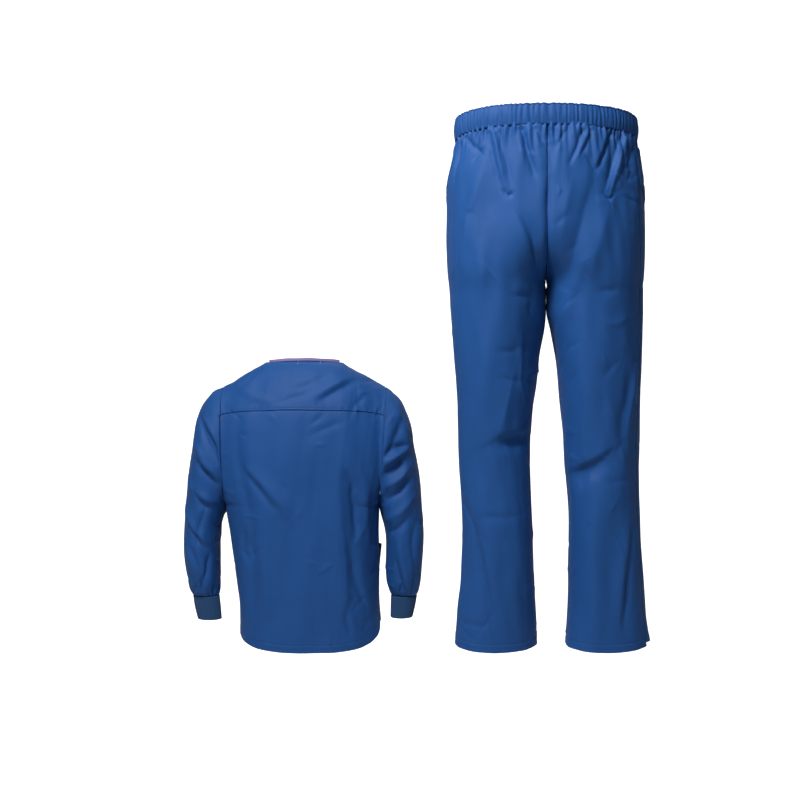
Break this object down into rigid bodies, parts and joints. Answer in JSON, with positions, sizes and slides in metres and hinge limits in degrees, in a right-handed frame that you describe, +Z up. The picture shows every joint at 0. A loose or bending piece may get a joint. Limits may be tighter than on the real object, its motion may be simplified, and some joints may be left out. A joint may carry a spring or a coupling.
{
  "type": "medical scrubs set, a long-sleeved top and elastic-waist pants, filled out with no wearer",
  "caption": "Hollow long-sleeved scrub top with back yoke, rib cuffs and front pockets, and straight pants with a gathered elastic waist, each open as if worn.",
  "frame": {"origin": "middle of the pants' waist at the upper edge of the band, where a wearer's waist holds the pants up", "axes": "+Z up; -Y towards the backs of both garments; +X to the wearer's right. The top stands to -X and behind, towards +Y"},
  "size_m": [1.0212, 0.7586, 1.152],
  "materials": {
    "cloth": "plain poly-cotton weave with a slight sheen",
    "rib": "matte rib knit",
    "tape": "matte woven tape"
  },
  "bodies": {
    "root": {"pants_waistband": "cloth", "pants_back_left": "cloth", "pants_back_right": "cloth", "pants_front_left": "cloth", "pants_front_right": "cloth", "pants_hip_pocket_left": "cloth", "pants_hip_pocket_right": "cloth", "top_back_yoke": "cloth", "top_back": "cloth", "top_front": "cloth", "top_neck_tape": "tape", "top_sleeve_left": "cloth", "top_sleeve_right": "cloth", "top_cuff_left": "rib", "top_cuff_right": "rib", "top_pocket_left": "cloth", "top_pocket_right": "cloth"}
  },
  "joints": []
}
